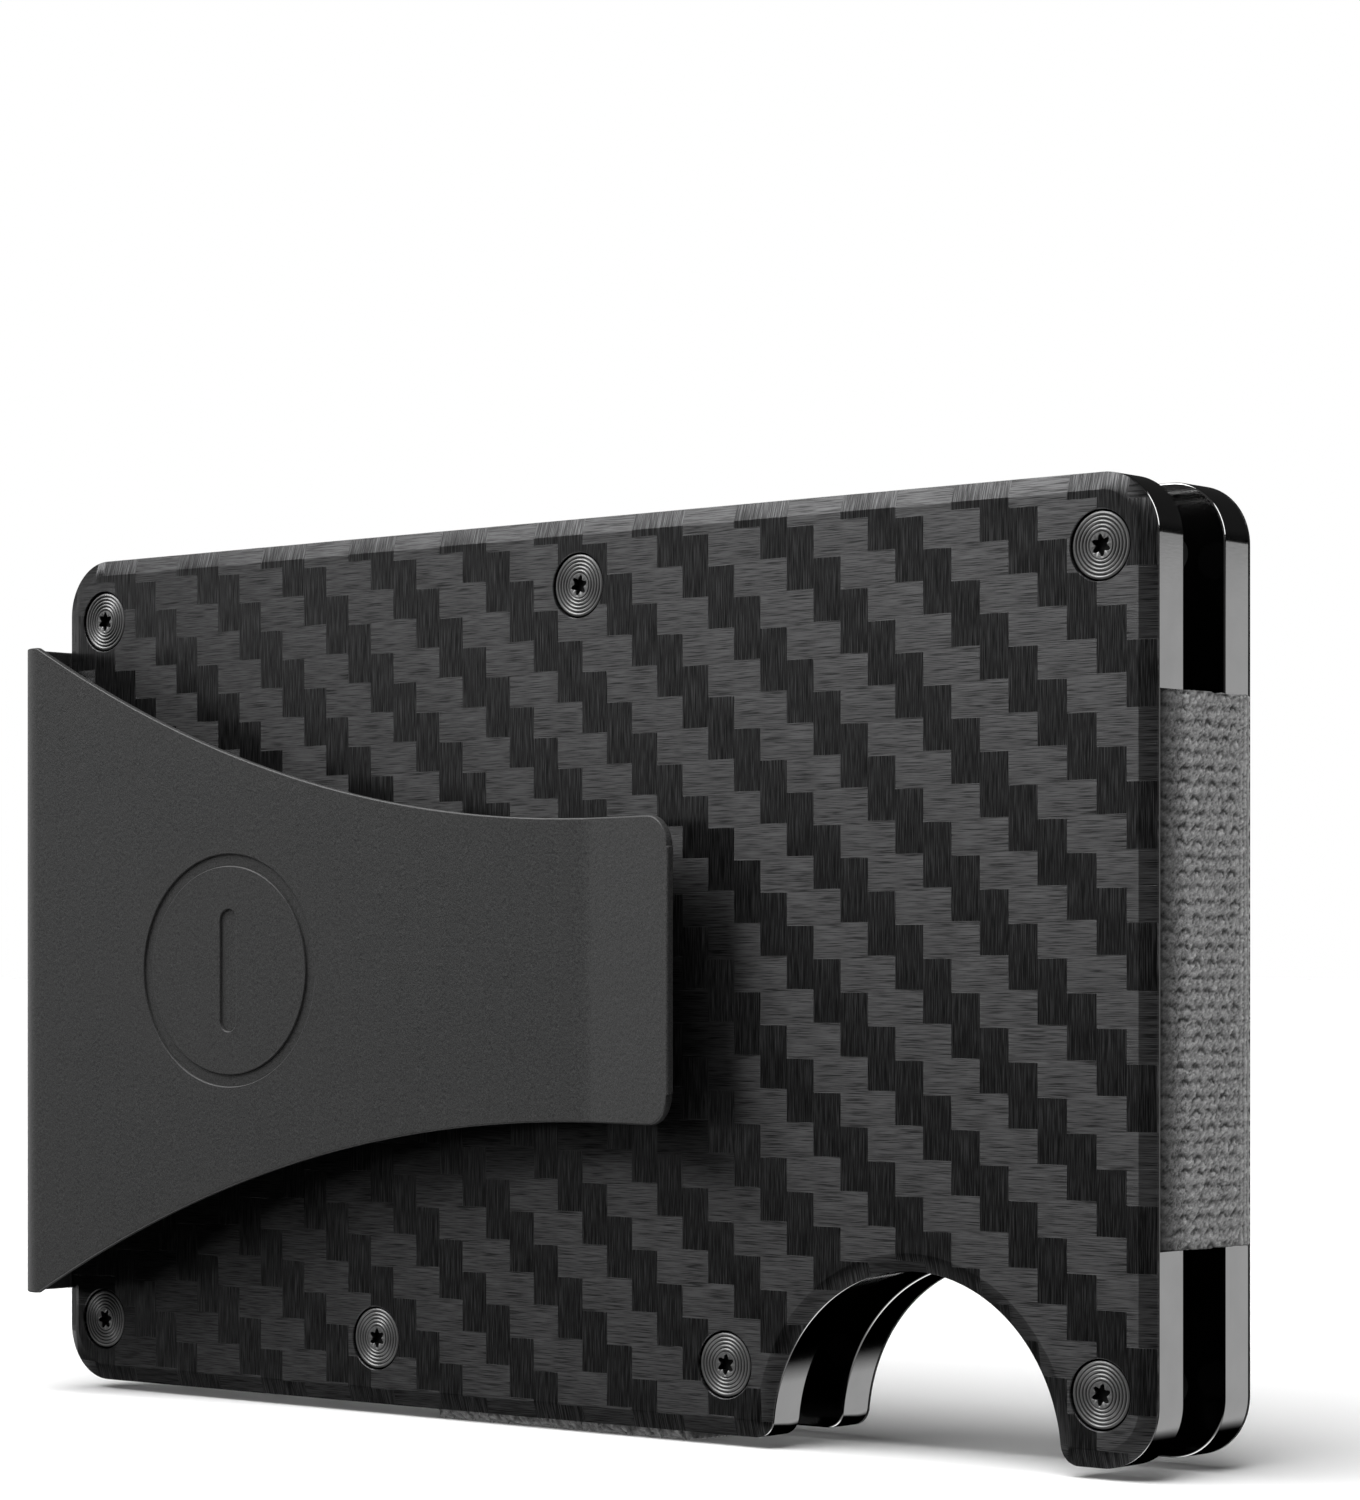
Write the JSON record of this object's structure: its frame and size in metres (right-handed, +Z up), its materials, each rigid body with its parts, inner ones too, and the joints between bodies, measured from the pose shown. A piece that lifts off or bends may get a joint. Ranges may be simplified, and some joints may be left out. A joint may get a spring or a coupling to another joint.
{
  "type": "minimalist wallet",
  "caption": "Slim card wallet: carbon-faced plates pulled together by elastic straps, with a spring money clip on the front and a thumb notch in the bottom edge.",
  "frame": {"origin": "bottom centre of the whole wallet's box as it stands on its long bottom edge; the lowest face is the underside of the bottom strap", "axes": "+X along the plates to the right as seen from the money clip's side, +Y to the back, through the plates, +Z up"},
  "size_m": [0.0868, 0.014, 0.0547],
  "materials": {
    "carbon": "satin twill-weave carbon fibre laminate",
    "inner_plate": "gloss black anodised",
    "screw": "dark, with turned rings on the head",
    "clip": "matte dark grey coated spring steel",
    "elastic": "grey knitted elastic"
  },
  "bodies": {
    "front_half": {"front_outer_plate": "carbon", "front_inner_plate": "inner_plate", "front_screw_1": "screw", "front_screw_2": "screw", "front_screw_3": "screw", "front_screw_4": "screw", "front_screw_5": "screw", "front_screw_6": "screw", "front_screw_7": "screw", "clip_base": "clip", "elastic_band": "elastic", "elastic_bottom": "elastic"},
    "back_half": {"back_outer_plate": "carbon", "back_inner_plate": "inner_plate", "back_screw_1": "screw", "back_screw_2": "screw", "back_screw_3": "screw", "back_screw_4": "screw", "back_screw_5": "screw", "back_screw_6": "screw", "back_screw_7": "screw"},
    "clip": {"clip_arm": "clip"}
  },
  "joints": [
    {"name": "plate_spread", "type": "slide", "parent": "front_half", "child": "back_half", "axis": [0, 1, 0], "range_m": [-0.0038, 0.005], "stiffness_N_per_m": 400, "deforming": ["elastic_band", "elastic_bottom"]},
    {"name": "clip_flex", "type": "hinge", "parent": "front_half", "child": "clip", "pos_m": [-0.0412, -0.00478, 0.02765], "axis": [0, 0, -1], "range_deg": [-1.8, 5], "stiffness_Nm_per_rad": 0.4, "springref_deg": -1.72}
  ]
}
